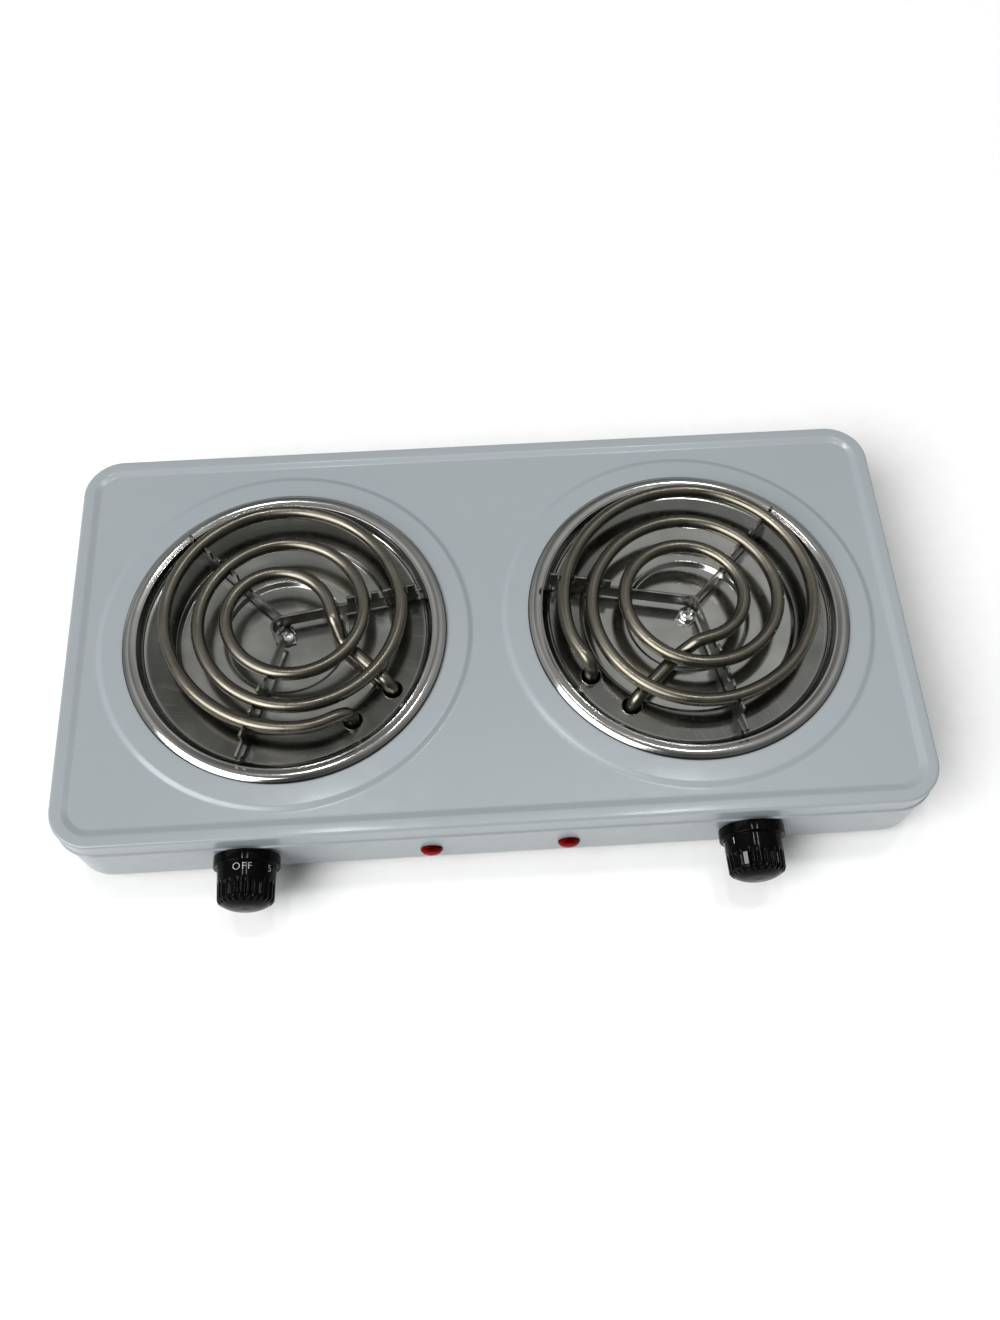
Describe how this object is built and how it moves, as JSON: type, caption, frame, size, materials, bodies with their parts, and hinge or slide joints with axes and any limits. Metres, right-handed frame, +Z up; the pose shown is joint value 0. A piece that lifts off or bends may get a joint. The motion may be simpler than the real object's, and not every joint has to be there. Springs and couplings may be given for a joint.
{
  "type": "hot plate burner",
  "caption": "Twin-coil electric table hot plate: low painted steel case, round chromed drip pans under spiral heating tubes, fluted dial knobs and red lamps on the front.",
  "frame": {"origin": "on the table, under the middle of the whole appliance, knobs included", "axes": "+X to the user's right along the long side, +Y from the knobs to the back, +Z up"},
  "size_m": [0.48, 0.2788, 0.0718],
  "materials": {
    "painted_steel": "satin silver-grey paint",
    "zinc_sheet": "zinc-plated sheet",
    "foot_rubber": "matte black",
    "zinc_screws": "zinc-plated",
    "chromed_pan": "satin chrome with a bright rolled rim",
    "support_steel": "bright strip steel",
    "screw_steel": "bright steel",
    "coil_sheath": "oxidised steel sheath",
    "pin_steel": "plain",
    "ceramic": "unglazed ceramic",
    "knob_plastic": "glossy black",
    "spindle_steel": "turned steel",
    "brass": "plain brass",
    "bimetal": "rolled strip",
    "red_lens": "glossy translucent red",
    "bulb_glass": "clear",
    "black_wire": "heat-proof insulation",
    "red_wire": "heat-proof insulation",
    "white_wire": "heat-proof insulation",
    "green_wire": "heat-proof insulation",
    "grommet_rubber": "matte black",
    "terminal_plastic": "plain"
  },
  "bodies": {
    "base": {"top_cover": "painted_steel", "body_shell": "painted_steel", "bottom_plate": "zinc_sheet", "burner_bridge_left": "zinc_sheet", "burner_bridge_right": "zinc_sheet", "thermostat_frame_left": "zinc_sheet", "thermostat_frame_right": "zinc_sheet", "foot_front_left": "foot_rubber", "foot_front_right": "foot_rubber", "foot_back_left": "foot_rubber", "foot_back_right": "foot_rubber", "foot_screws": "zinc_screws", "foot_nuts": "zinc_screws", "plate_screws": "zinc_screws", "cover_screws": "zinc_screws", "burner_nuts": "zinc_screws", "bush_nuts": "zinc_screws", "earth_fixing": "zinc_screws", "stack_rivets": "zinc_screws", "lamp_clips": "zinc_screws", "drip_pan_left": "chromed_pan", "drip_pan_right": "chromed_pan", "coil_support_left": "support_steel", "coil_support_right": "support_steel", "burner_screw_left": "screw_steel", "burner_screw_right": "screw_steel", "heating_coil_left": "coil_sheath", "heating_coil_right": "coil_sheath", "coil_pins_left": "pin_steel", "coil_pins_right": "pin_steel", "coil_beads_left": "ceramic", "coil_beads_right": "ceramic", "thermostat_ceramics_left": "ceramic", "thermostat_ceramics_right": "ceramic", "thermostat_bush_left": "brass", "thermostat_bush_right": "brass", "spring_blade_left": "brass", "spring_blade_right": "brass", "terminal_screws": "brass", "bimetal_blade_left": "bimetal", "bimetal_blade_right": "bimetal", "lamp_lens_left": "red_lens", "lamp_lens_right": "red_lens", "lamp_bulb_left": "bulb_glass", "lamp_bulb_right": "bulb_glass", "live_wire_left": "black_wire", "live_wire_right": "black_wire", "load_wire_left": "red_wire", "load_wire_right": "red_wire", "neutral_wire_left": "white_wire", "neutral_wire_right": "white_wire", "lamp_leads_left": "white_wire", "lamp_leads_right": "white_wire", "earth_wire": "green_wire", "cord_grommet": "grommet_rubber", "terminal_block": "terminal_plastic"},
    "knob_left": {"knob_left": "knob_plastic", "spindle_left": "spindle_steel"},
    "knob_right": {"knob_right": "knob_plastic", "spindle_right": "spindle_steel"}
  },
  "joints": [
    {"name": "knob_left_turn", "type": "hinge", "parent": "base", "child": "knob_left", "pos_m": [-0.138, -0.1089, 0.0295], "axis": [0, 1, 0], "range_deg": [0, 305]},
    {"name": "knob_right_turn", "type": "hinge", "parent": "base", "child": "knob_right", "pos_m": [0.138, -0.1089, 0.0295], "axis": [0, 1, 0], "range_deg": [-88, 217]}
  ]
}
